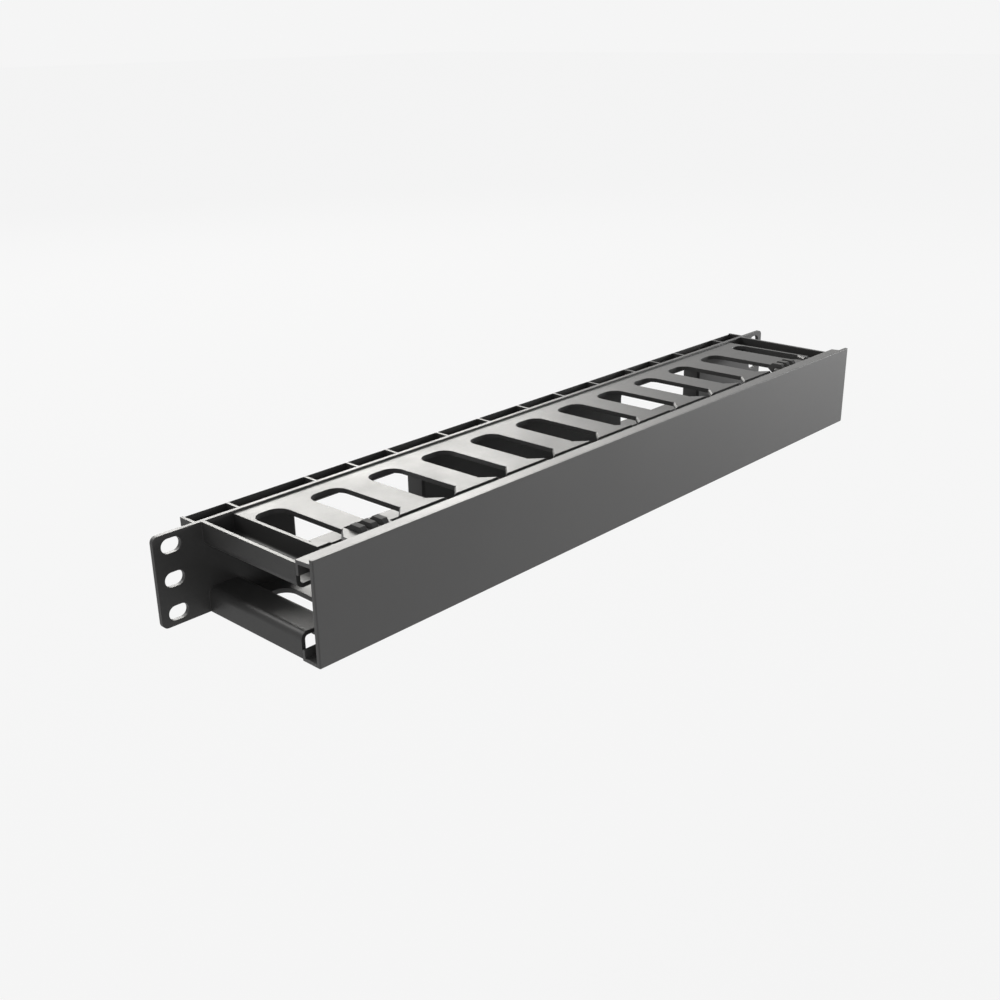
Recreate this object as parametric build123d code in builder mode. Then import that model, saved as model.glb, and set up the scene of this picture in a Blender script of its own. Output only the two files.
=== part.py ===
from build123d import *
import os

# A horizontal cable manager, one rack unit high: a moulded duct with slotted finger
# walls above and below, and a front cover that hinges upwards on two comb hinges.
# Millimetres. X runs across the rack, -Y to the front and +Z up. Y = 0 is the back
# of the ears, where they meet the rails, and Z = 0 is the middle of the rack unit.

# Back wall and ears
rack_width = 482.6
panel_height = 43.5
wall = 2.2
ear_corner = 3.0
hole_inset = 8.75
hole_pitch = 15.875
ear_slot_length = 10.0
ear_slot_height = 7.0

# Ribbed rim behind the wall, between the ears
ear_width = 21.55
rim_depth = 9.5
rim_floor = 2.0
rim_lip = 1.2
lip_bevel = 0.8
rib = 1.5
end_plate = 1.6
rib_places = [31.5, 63.2, 99.2, 125.2, 151.2]
end_rib_inset = 24.05

# Windows in the back wall, with jambs as deep as the rim
window_near = 84.0
window_length = 82.0
window_height = 24.0
window_corner = 3.0
window_bevel = 1.2
jamb = 3.0

# Finger walls: the plate steps down from the wall's top and rises towards its tips
plate = 2.4
plate_step = 0.95
plate_rise = 0.8
finger_reach = 61.6
flare_length = 7.3
tongue = 1.2
tongue_gap = 1.5

# Slots between the fingers, the end ones narrower
slot_pitch = 35.0
slot_width = 19.6
slot_start = 11.7
slot_corner = 7.0
mouth = 5.0
mouth_bevel = 1.1
left_end_slot = 17.0
right_end_slot = 12.0

# Cable troughs at the four corners, with flat floors
trough_inset = 3.15
trough_width = 14.4
trough_depth = 9.95
trough_wall = 1.9
trough_corner = 3.5
trough_past_tips = 6.1

# Cover
cover_inset = 2.45
cover_depth = 11.2
cover_wall = 2.0
cover_top = 26.4
cover_bottom = 22.3
flange = 1.8
flange_level = 23.9
flange_rise = 0.5
web = 1.5
web_height = 5.3
cover_gap = 1.0
edge_round = 0.6

# Comb hinges at the top, set off from the last slots, and snap hooks of the same comb below
hinge_offset = 13.5
tooth = 3.2
tooth_pitch = 6.2
tooth_count = 3
tooth_gap = 0.7
bar_radius = 1.3
bar_inset = 5.1
pin_gap = 0.08
jaw_opening = 2.3
snap_bar = 2.2
snap_drop = 0.5
snap_gap = 0.3
snap_prong = 1.1
pad_gap = 3.1
hook_toe = 6.2
hook_crown = 2.9
hook_nose = 4.5
hook_lip = 2.4
arm_height = 1.5

# Levels and depths that follow from the sizes above
hole_span = rack_width - 2 * hole_inset
rim_length = rack_width - 2 * ear_width
cover_length = rim_length - 2 * cover_inset
trough_span = rim_length - 2 * trough_inset
top = panel_height / 2
plate_top = top - plate_step
tip_top = plate_top + plate_rise
tip_bottom = tip_top - plate
trough_reach = finger_reach + trough_past_tips
flange_rear = trough_reach + cover_gap
cover_front = flange_rear + cover_depth
tongue_tip = flange_rear - tongue_gap
pad_front = flange_rear - pad_gap
flare_start = finger_reach - flare_length
trough_centre = trough_span / 2 - trough_wall - trough_width / 2
trough_floor = top - trough_depth
strip_outer = trough_centre - trough_width / 2
strip_inner = strip_outer - trough_wall
web_edge = cover_bottom - web_height
window_middle = window_near + window_length / 2
floor_top = window_height / 2 + rim_floor
bar_y = -(pad_front - bar_inset)
bar_z = tip_top - plate / 2
snap_z = -(bar_z - snap_drop)
throat = snap_bar + 2 * snap_gap
throat_back = bar_y - throat / 2
throat_top = snap_z + throat / 2
slit = tooth + 2 * tooth_gap
slit_back = bar_y + hook_toe + tooth_gap

slot_room = 2 * strip_inner - left_end_slot - right_end_slot
slot_count = int(slot_room // slot_pitch)
slot_places = [slot_pitch * (i - (slot_count - 1) / 2) for i in range(slot_count)]
left_end_place = -strip_inner + left_end_slot / 2
right_end_place = strip_inner - right_end_slot / 2
pad_spans = [
    (left_end_place + mouth / 2, slot_places[0] - mouth / 2),
    (slot_places[-1] + mouth / 2, right_end_place - mouth / 2),
]
hinge_place = slot_places[-1] + hinge_offset
tooth_offsets = [tooth_pitch * (i - (tooth_count - 1) / 2) for i in range(tooth_count)]
tooth_places = [side * hinge_place + x for side in (-1, 1) for x in tooth_offsets]
comb_half = tooth_offsets[-1] + slit / 2
end_rib = rim_length / 2 - end_rib_inset
rib_centres = [0] + [side * x for x in rib_places + [end_rib] for side in (-1, 1)]


def finger_slot(width):
    # Round-backed slot that flares in to a narrow mouth between two finger tips
    with BuildSketch() as outline:
        with BuildLine():
            Polyline(
                (-width / 2, -slot_start),
                (width / 2, -slot_start),
                (width / 2, -flare_start),
                (mouth / 2, -finger_reach),
                (mouth / 2, -flange_rear),
                (-mouth / 2, -flange_rear),
                (-mouth / 2, -finger_reach),
                (-width / 2, -flare_start),
                close=True,
            )
        make_face()
        back = outline.vertices().group_by(Axis.Y)[-1]
        fillet(back, radius=min(slot_corner, 0.45 * width))
    return outline.sketch


def mouth_cone(width):
    # The flare alone, a bevel wider than the slot, for the sloped edges of the tips
    with BuildSketch() as outline:
        with BuildLine():
            Polyline(
                (-width / 2 - mouth_bevel, -flare_start),
                (width / 2 + mouth_bevel, -flare_start),
                (mouth / 2 + mouth_bevel, -finger_reach),
                (mouth / 2 + mouth_bevel, -flange_rear),
                (-mouth / 2 - mouth_bevel, -flange_rear),
                (-mouth / 2 - mouth_bevel, -finger_reach),
                close=True,
            )
        make_face()
    return outline.sketch


middle_slot = finger_slot(slot_width)
left_slot = finger_slot(left_end_slot)
right_slot = finger_slot(right_end_slot)
middle_cone = mouth_cone(slot_width)
left_cone = mouth_cone(left_end_slot)
right_cone = mouth_cone(right_end_slot)

with BuildPart() as duct_body:
    # Upper finger plate with the tongue under the cover's flange
    with BuildSketch(Plane.YZ) as plate_section:
        with BuildLine():
            Polyline(
                (-wall / 2, plate_top),
                (-wall, plate_top),
                (-finger_reach, tip_top),
                (-finger_reach, tip_bottom + tongue),
                (-tongue_tip, tip_bottom + tongue),
                (-tongue_tip, tip_bottom + tongue / 3),
                (-finger_reach, tip_bottom),
                (-wall, plate_top - plate),
                (-wall / 2, plate_top - plate),
                close=True,
            )
        make_face()
    extrude(amount=strip_outer, both=True)

    # Hinge pads: the two fingers next to the ends reach further forward
    for left, right in pad_spans:
        with BuildSketch(Plane.XY.offset(tip_bottom)):
            with Locations(((left + right) / 2, -finger_reach + plate)):
                Rectangle(right - left, pad_front - finger_reach + plate, align=(Align.CENTER, Align.MAX))
        extrude(amount=plate)

    # Slots, mouths and the slits of the hinge combs
    with BuildSketch(Plane.XY.offset(tip_bottom - plate)) as slot_field:
        with Locations(*[(x, 0) for x in slot_places]):
            add(middle_slot)
        with Locations((left_end_place, 0)):
            add(left_slot)
        with Locations((right_end_place, 0)):
            add(right_slot)
        for x in tooth_places:
            with Locations((x, slit_back)):
                Rectangle(slit, flange_rear + slit_back, align=(Align.CENTER, Align.MAX))
    extrude(amount=3 * plate, mode=Mode.SUBTRACT)

    # Sloped edges round each mouth
    with BuildSketch(Plane.XY.offset(tip_top + 0.01)) as cone_field:
        with Locations(*[(x, 0) for x in slot_places]):
            add(middle_cone)
        with Locations((left_end_place, 0)):
            add(left_cone)
        with Locations((right_end_place, 0)):
            add(right_cone)
    extrude(amount=-mouth_bevel, taper=45, mode=Mode.SUBTRACT)

    # Troughs beside the end strips, their outer walls as high as the back wall
    with BuildSketch(Plane.XZ) as trough_section:
        with Locations((trough_centre, trough_floor - trough_wall)):
            Rectangle(
                trough_width + 2 * trough_wall,
                plate_top - trough_floor + trough_wall,
                align=(Align.CENTER, Align.MIN),
            )
        floor_corners = trough_section.vertices().group_by(Axis.Y)[0]
        fillet(floor_corners, radius=trough_corner)
        with Locations((trough_centre + trough_width / 2, plate_top)):
            Rectangle(trough_wall, top - plate_top, align=(Align.MIN, Align.MIN))
        with BuildSketch(mode=Mode.PRIVATE) as hollow:
            with Locations((trough_centre, trough_floor)):
                Rectangle(trough_width, trough_depth, align=(Align.CENTER, Align.MIN))
            hollow_corners = hollow.vertices().group_by(Axis.Y)[0]
            fillet(hollow_corners, radius=trough_corner - trough_wall)
        add(hollow.sketch, mode=Mode.SUBTRACT)
        mirror(about=Plane.YZ)
    extrude(amount=trough_reach)

    # Upper channel of the rim behind the wall, with its cross ribs
    with BuildSketch(Plane.YZ) as channel_section:
        with BuildLine():
            Polyline(
                (-wall / 2, window_height / 2),
                (rim_depth, window_height / 2),
                (rim_depth, top - lip_bevel),
                (rim_depth - rim_lip, top),
                (rim_depth - rim_lip, floor_top),
                (-wall / 2, floor_top),
                close=True,
            )
        make_face()
    extrude(amount=rim_length / 2, both=True)
    with BuildSketch(Plane.XY.offset(floor_top)) as rib_rows:
        with Locations(*[(x, 0) for x in rib_centres]):
            Rectangle(rib, rim_depth - rim_lip, align=(Align.CENTER, Align.MIN))
    extrude(amount=top - floor_top)

    # The lower half is the same
    mirror(about=Plane.XY)

    # Back wall with the ears, and the rim's end plates
    with BuildSketch(Plane.XZ) as wall_face:
        RectangleRounded(rack_width, panel_height, ear_corner)
        with GridLocations(hole_span, hole_pitch, 2, 3):
            SlotOverall(ear_slot_length, ear_slot_height, mode=Mode.SUBTRACT)
    extrude(amount=wall)
    with BuildSketch(Plane.XY.offset(-top)) as end_plates:
        with GridLocations(rim_length - end_plate, 0, 2, 1):
            Rectangle(end_plate, rim_depth, align=(Align.CENTER, Align.MIN))
    extrude(amount=panel_height)

    # Windows and their jambs
    with BuildSketch(Plane.XZ) as jambs:
        with GridLocations(2 * window_middle, 0, 2, 1):
            Rectangle(window_length + 2 * jamb, window_height + 2 * rim_floor)
    extrude(amount=-rim_depth)
    with BuildSketch(Plane.XZ.offset(wall)) as windows:
        with GridLocations(2 * window_middle, 0, 2, 1):
            RectangleRounded(window_length, window_height, window_corner)
    extrude(amount=-(wall + rim_depth), mode=Mode.SUBTRACT)
    front_edges = duct_body.edges().filter_by_position(Axis.Y, -wall, -wall)
    rim_edges = front_edges.filter_by_position(Axis.Z, -window_height / 2, window_height / 2)
    window_edges = [
        edge
        for edge in rim_edges
        if window_near - 0.01 <= abs(edge.center().X) <= window_near + window_length + 0.01
    ]
    chamfer(window_edges, length=window_bevel)

    # Round hinge bars across the upper combs, square snap bars across the lower ones
    for side in (-1, 1):
        with BuildSketch(Plane.YZ.offset(side * hinge_place)) as bars:
            with Locations((bar_y, bar_z)):
                Circle(bar_radius)
            with Locations((bar_y, snap_z)):
                Rectangle(snap_bar, snap_bar)
        extrude(amount=comb_half + tooth_gap, both=True)

with BuildPart() as hinged_cover:
    # Front plate with a lip, and two flanges with a web along the rear of each
    with BuildSketch(Plane.YZ) as cover_section:
        with BuildLine():
            Polyline(
                (-cover_front, -cover_bottom),
                (-cover_front, cover_top),
                (-cover_front + cover_wall, cover_top),
                (-cover_front + cover_wall, flange_level + flange_rise),
                (-flange_rear, flange_level),
                (-flange_rear, web_edge),
                (-flange_rear - web, web_edge),
                (-flange_rear - web, flange_level - flange),
                (-cover_front + cover_wall, flange_level + flange_rise - flange),
                (-cover_front + cover_wall, -cover_bottom + flange),
                (-flange_rear - web, -cover_bottom + flange),
                (-flange_rear - web, -web_edge),
                (-flange_rear, -web_edge),
                (-flange_rear, -cover_bottom),
                close=True,
            )
        make_face()
        front = cover_section.vertices().group_by(Axis.X)[0]
        fillet(front.sort_by(Axis.Y)[0], radius=1.5 * edge_round)
        fillet(front.sort_by(Axis.Y)[-1], radius=edge_round)
    extrude(amount=cover_length / 2, both=True)
    foot_corners = hinged_cover.edges().filter_by(Axis.Y).group_by(Axis.Z)[0]
    fillet(foot_corners, radius=edge_round)

    # Hinge hooks: each clips over the bar and shows as a tooth behind the flange
    for x in tooth_places:
        with BuildSketch(Plane.YZ.offset(x)) as hook:
            with BuildLine():
                Polyline(
                    (bar_y + hook_toe, bar_z + tooth_gap / 2),
                    (bar_y + hook_crown, flange_level),
                    (bar_y - hook_crown, flange_level),
                    (bar_y - hook_nose, bar_z + arm_height),
                    (-flange_rear - web / 2, bar_z + arm_height),
                    (-flange_rear - web / 2, bar_z - arm_height),
                    (bar_y - hook_nose, bar_z - arm_height),
                    (bar_y - hook_crown, bar_z - hook_lip),
                    (bar_y + hook_crown, bar_z - hook_lip),
                    close=True,
                )
            make_face()
            with Locations((bar_y, bar_z)):
                Circle(bar_radius + pin_gap, mode=Mode.SUBTRACT)
                Rectangle(
                    jaw_opening, 2 * hook_lip, align=(Align.CENTER, Align.MAX), mode=Mode.SUBTRACT
                )
        extrude(amount=tooth / 2, both=True)

    # Snap hooks: forked, open to the rear, so the cover's foot swings off the bar
    for x in tooth_places:
        with BuildSketch(Plane.YZ.offset(x)) as fork:
            with BuildLine():
                Polyline(
                    (-flange_rear - web, -cover_bottom),
                    (bar_y + hook_crown, -cover_bottom),
                    (bar_y + hook_crown, throat_top + snap_prong),
                    (bar_y - hook_nose, throat_top + snap_prong),
                    (-flange_rear - web, -cover_bottom + flange),
                    close=True,
                )
            make_face()
            with Locations((throat_back, snap_z)):
                Rectangle(hook_toe, throat, align=(Align.MIN, Align.CENTER), mode=Mode.SUBTRACT)
        extrude(amount=tooth / 2, both=True)

os.makedirs("parts", exist_ok=True)
duct_body.part.label = "duct_body"
export_step(duct_body.part, "parts/duct_body.step")
hinged_cover.part.label = "hinged_cover"
export_step(hinged_cover.part, "parts/hinged_cover.step")
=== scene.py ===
import math

import bpy
from mathutils import Matrix, Vector


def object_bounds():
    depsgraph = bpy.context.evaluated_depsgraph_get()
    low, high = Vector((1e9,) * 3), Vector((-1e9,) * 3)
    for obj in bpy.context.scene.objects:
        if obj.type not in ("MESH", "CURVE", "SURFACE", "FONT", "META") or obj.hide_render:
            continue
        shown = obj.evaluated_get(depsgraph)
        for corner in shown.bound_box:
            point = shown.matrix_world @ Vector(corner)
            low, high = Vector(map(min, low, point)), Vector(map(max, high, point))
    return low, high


# A one-unit horizontal cable manager: a moulded duct and its hinged front cover.
# Metres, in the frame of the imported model: +X to the right, -Y to the front, +Z up.
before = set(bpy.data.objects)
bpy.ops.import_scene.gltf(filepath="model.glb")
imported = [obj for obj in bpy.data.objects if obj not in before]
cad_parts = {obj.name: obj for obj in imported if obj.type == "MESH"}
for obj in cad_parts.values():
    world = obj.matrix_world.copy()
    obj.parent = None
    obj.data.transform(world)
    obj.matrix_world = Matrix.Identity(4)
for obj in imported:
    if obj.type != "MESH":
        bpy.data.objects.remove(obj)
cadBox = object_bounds()
print("frame loaded:", sorted(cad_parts))


class Signal:  # a socket that takes part in plain arithmetic
    def __init__(self, board, socket):
        self.board = board
        self.socket = socket

    def maths(self, operation, first, second, clamp=False):
        settings = {"operation": operation, "use_clamp": clamp}
        return self.board.add("ShaderNodeMath", settings, {0: first, 1: second})

    def __add__(self, other):
        return self.maths("ADD", self, other)

    def __radd__(self, other):
        return self.maths("ADD", other, self)

    def __sub__(self, other):
        return self.maths("SUBTRACT", self, other)

    def __rsub__(self, other):
        return self.maths("SUBTRACT", other, self)

    def __mul__(self, other):
        return self.maths("MULTIPLY", self, other)

    def __rmul__(self, other):
        return self.maths("MULTIPLY", other, self)

    def larger(self, other):
        return self.maths("MAXIMUM", self, other)

    def clamped(self):
        return self.maths("ADD", self, 0.0, clamp=True)


noiseMiddle = 0.5  # the level that a noise swings about


class Board:  # one node tree, emptied, with a single way of adding nodes
    def __init__(self, tree):
        self.tree = tree
        tree.nodes.clear()

    def add(self, kind, settings=None, sockets=None, out=0):
        node = self.tree.nodes.new(kind)
        for name, value in (settings or {}).items():
            setattr(node, name, value)
        for name, value in (sockets or {}).items():
            if isinstance(value, Signal):
                self.tree.links.new(value.socket, node.inputs[name])
            else:
                node.inputs[name].default_value = value
        return Signal(self, node.outputs[out]) if node.outputs else None

    def blend(self, factor, first, second):  # 6, 7 and 2 are Mix's colour sockets
        settings = {"data_type": "RGBA", "blend_type": "MIX"}
        return self.add("ShaderNodeMix", settings, {0: factor, 6: first, 7: second}, 2)

    def noise(self, place, scale, detail, roughness):
        return self.add("ShaderNodeTexNoise", {}, {
            "Vector": place,
            "Scale": scale,
            "Detail": detail,
            "Roughness": roughness,
        })


def grey(level, warmth=0.0):
    return (level * (1 + warmth), level, level * (1 - warmth), 1.0)


# The camera stands where the photograph was taken from.
viewpoint = {
    "place": (-0.47953, -0.427485, 0.221051),
    "azimuth": -46.751,  # degrees; 0 looks along +Y
    "elevation": 21.455,
    "roll": -0.853,
    "focal": 43.185,  # millimetres, as is the sensor
    "sensor": 36.0,
    "shift": (0.00145, -0.0030),
    "nearest": 0.01,
    "farthest": 100.0,
}


def compass(azimuth, elevation):  # a unit vector; 0 points along +Y, 90 along +X
    turn = math.radians(azimuth)
    lift = math.radians(elevation)
    flat = math.cos(lift)
    return Vector((math.sin(turn) * flat, math.cos(turn) * flat, math.sin(lift)))


def placeCamera(settings):
    camera = bpy.data.objects.new("studioCamera", bpy.data.cameras.new("studioCamera"))
    bpy.context.scene.collection.objects.link(camera)
    ahead = compass(-settings["azimuth"], -settings["elevation"])
    right = ahead.cross(Vector((0, 0, 1))).normalized()
    up = right.cross(ahead)
    roll = math.radians(settings["roll"])
    rolledRight = right * math.cos(roll) + up * math.sin(roll)
    rolledUp = up * math.cos(roll) - right * math.sin(roll)
    axes = Matrix((rolledRight, rolledUp, -ahead)).transposed()
    camera.matrix_world = Matrix.Translation(settings["place"]) @ axes.to_4x4()
    camera.data.sensor_width = settings["sensor"]
    camera.data.lens = settings["focal"]
    camera.data.shift_x, camera.data.shift_y = settings["shift"]
    camera.data.clip_start = settings["nearest"]
    camera.data.clip_end = settings["farthest"]
    bpy.context.scene.camera = camera


# Pale floor and sky of the studio, both seen at the photograph's background tone.
studio = {
    "floorDrop": 0.16,  # the part is shown lifted clear of the floor
    "floorSize": 30.0,
    "paper": 0.914,  # the tone that is seen
    "floorTone": 0.6,  # the floor's own colour, under the lamps
    "keptShadow": 0.02,  # how much of its own shading the floor shows
    "ambient": 0.53,  # the sky's light on the part
}


def directRay(board):  # 1 where a surface is seen, straight, mirrored or through glass
    seen = board.add("ShaderNodeLightPath", out="Is Camera Ray")
    mirrored = board.add("ShaderNodeLightPath", out="Is Glossy Ray")
    through = board.add("ShaderNodeLightPath", out="Is Transmission Ray")
    return seen.larger(mirrored).larger(through)


def layFloor(settings, lowest):
    half = settings["floorSize"] / 2
    level = lowest - settings["floorDrop"]
    corners = [
        (-half, -half, level),
        (half, -half, level),
        (half, half, level),
        (-half, half, level),
    ]
    sheet = bpy.data.meshes.new("studioFloor")
    sheet.from_pydata(corners, [], [(0, 1, 2, 3)])
    floor = bpy.data.objects.new("studioFloor", sheet)
    bpy.context.scene.collection.objects.link(floor)
    paint = bpy.data.materials.new("paleFloor")
    paint.use_nodes = True
    board = Board(paint.node_tree)
    paper = grey(settings["paper"])
    matte = board.add("ShaderNodeBsdfDiffuse", {}, {"Color": grey(settings["floorTone"])})
    glow = board.add("ShaderNodeEmission", {}, {"Color": paper, "Strength": 1.0})
    share = directRay(board) * (1 - settings["keptShadow"])
    mixed = board.add("ShaderNodeMixShader", {}, {0: share, 1: matte, 2: glow})
    board.add("ShaderNodeOutputMaterial", {}, {"Surface": mixed})
    sheet.materials.append(paint)


def paintSky(settings):
    sky = bpy.data.worlds.new("studioSky")
    bpy.context.scene.world = sky
    sky.use_nodes = True
    board = Board(sky.node_tree)
    ambient, paper = grey(settings["ambient"]), grey(settings["paper"])
    tone = board.blend(directRay(board), ambient, paper)
    glow = board.add("ShaderNodeBackground", {}, {"Color": tone, "Strength": 1.0})
    board.add("ShaderNodeOutputWorld", {}, {"Surface": glow})


# Soft lamps: a large one behind and above, whose reflection lightens what faces up, a
# smaller one behind to the left that runs along the rounded corners, a faint one at the
# front left that reaches in between the troughs, and a low, wide one at the right that
# lights the far half of the cover. Angles in degrees, distances and sizes in metres.
lamps = {
    "backSoftbox": {
        "azimuth": 28,
        "elevation": 29,
        "distance": 2.2,
        "size": (1.45, 1.0),
        "watts": 70,
        "tint": (1.0, 0.985, 0.95),
    },
    "cornerSoftbox": {
        "azimuth": -22,
        "elevation": 40,
        "distance": 2.0,
        "size": (0.8, 0.8),
        "watts": 22,
        "tint": (1.0, 0.99, 0.97),
    },
    "leftFill": {
        "azimuth": -140,
        "elevation": 12,
        "distance": 1.6,
        "size": (0.8, 0.6),
        "watts": 4,
        "tint": (1.0, 1.0, 1.0),
    },
    "frontFill": {
        "azimuth": 112,
        "elevation": 6,
        "distance": 2.0,
        "size": (1.1, 0.5),
        "watts": 43,
        "tint": (1.0, 1.0, 1.0),
    },
}


def hangLamp(name, settings, target):
    light = bpy.data.lights.new(name, "AREA")
    light.shape = "RECTANGLE"
    light.size, light.size_y = settings["size"]
    light.energy = settings["watts"]
    light.color = settings["tint"]
    lamp = bpy.data.objects.new(name, light)
    bpy.context.scene.collection.objects.link(lamp)
    outward = compass(settings["azimuth"], settings["elevation"])
    lamp.location = target + outward * settings["distance"]
    lamp.rotation_euler = outward.to_track_quat("Z", "Y").to_euler()


# Both mouldings are the same black plastic. The cover's hooks, which stand behind its
# flanges, come from a part of the mould that was left rough.
ductFinish = {
    "dark": 0.025,
    "light": 0.033,
    "roughness": (0.38, 0.50),
    "specular": 0.25,
    "edgeRadius": 0.00035,
    "grainScale": 1400,  # cycles a metre, as is the flow's
    "grainDepth": 0.00002,
    "flowScale": 14,
}
# The cover's dark and light tones are set above the duct's. This is painted light: it
# stands in for the extra light that falls on the cover's open front, since the plastic is
# the same.
coverFinishPaintedLight = {
    "dark": 0.032,
    "light": 0.042,
    "roughness": (0.44, 0.54),
    "specular": 0.45,
    "edgeRadius": 0.00045,
    "grainScale": 1800,
    "grainDepth": 0.00001,
    "flowScale": 9,
    "roughFrom": -0.0684,  # along Y, just behind the flanges
    "roughEnd": 0.92,
}
bothFinishes = {
    "flowShare": 0.75,  # of the flow and the speckle in the tone
    "speckleShare": 0.45,
    "toneDrop": 0.1,
    "lightWarmth": 0.01,
    "speckleSize": 3,  # in grains
    "handlingScale": 2.5,  # finer than the flow by this much
    "handlingContrast": 1.8,
    "handlingDrop": 0.4,
    "speckleRoughness": 0.06,
    "roughFade": 3000,  # a metre, so the rough part sets in over a third of a millimetre
    "edgeSamples": 6,
    "grainStrength": 0.5,
}


def mouldedPlastic(name, finish, shared):
    material = bpy.data.materials.new(name)
    material.use_nodes = True
    board = Board(material.node_tree)
    place = board.add("ShaderNodeTexCoord", out="Object")

    # The tone changes where the melt ran and cooled, and has a fine speckle.
    flow = board.noise(place, finish["flowScale"], detail=3.0, roughness=0.6)
    speckleScale = finish["grainScale"] / shared["speckleSize"]
    speckle = board.noise(place, speckleScale, detail=2.0, roughness=0.5)
    mottle = flow * shared["flowShare"] + speckle * shared["speckleShare"]
    tone = (mottle - shared["toneDrop"]).clamped()
    light = grey(finish["light"], shared["lightWarmth"])
    colour = board.blend(tone, grey(finish["dark"]), light)

    # Faint marks of handling in the gloss, and the rough hooks where there are any.
    low, high = finish["roughness"]
    handledScale = finish["flowScale"] * shared["handlingScale"]
    handled = board.noise(place, handledScale, detail=4.0, roughness=0.55)
    marks = (shared["handlingContrast"] * handled - shared["handlingDrop"]).clamped()
    uneven = shared["speckleRoughness"] * (speckle - noiseMiddle)
    roughness = low + (high - low) * marks + uneven
    if "roughFrom" in finish:
        depth = board.add("ShaderNodeSeparateXYZ", {}, {"Vector": place}, "Y")
        behind = ((depth - finish["roughFrom"]) * shared["roughFade"]).clamped()
        roughness = roughness + (finish["roughEnd"] - roughness) * behind

    # Edges are softly rounded, and the grain of the mould lies over them.
    bevelSettings = {"samples": shared["edgeSamples"]}
    edge = board.add("ShaderNodeBevel", bevelSettings, {"Radius": finish["edgeRadius"]})
    grain = board.noise(place, finish["grainScale"], detail=2.0, roughness=0.6)
    surface = board.add("ShaderNodeBump", {}, {
        "Strength": shared["grainStrength"],
        "Distance": finish["grainDepth"],
        "Height": grain,
        "Normal": edge,
    })
    plastic = board.add("ShaderNodeBsdfPrincipled", {}, {
        "Base Color": colour,
        "Roughness": roughness.clamped(),
        "Specular IOR Level": finish["specular"],
        "Normal": surface,
    })
    board.add("ShaderNodeOutputMaterial", {}, {"Surface": plastic})
    return material


def dress(node, material):
    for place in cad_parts[node].material_slots:
        place.material = material


placeCamera(viewpoint)
print("camera placed")

middle = (Vector(cadBox[0]) + Vector(cadBox[1])) / 2
layFloor(studio, cadBox[0][2])
paintSky(studio)
for lampName, lampSettings in lamps.items():
    hangLamp(lampName, lampSettings, middle)
bpy.context.scene.view_settings.view_transform = "Standard"
print("studio lit with", len(lamps), "lamps")

dress("duct_body", mouldedPlastic("ductPlastic", ductFinish, bothFinishes))
dress("hinged_cover", mouldedPlastic("coverPlastic", coverFinishPaintedLight, bothFinishes))
print("plastics assigned")
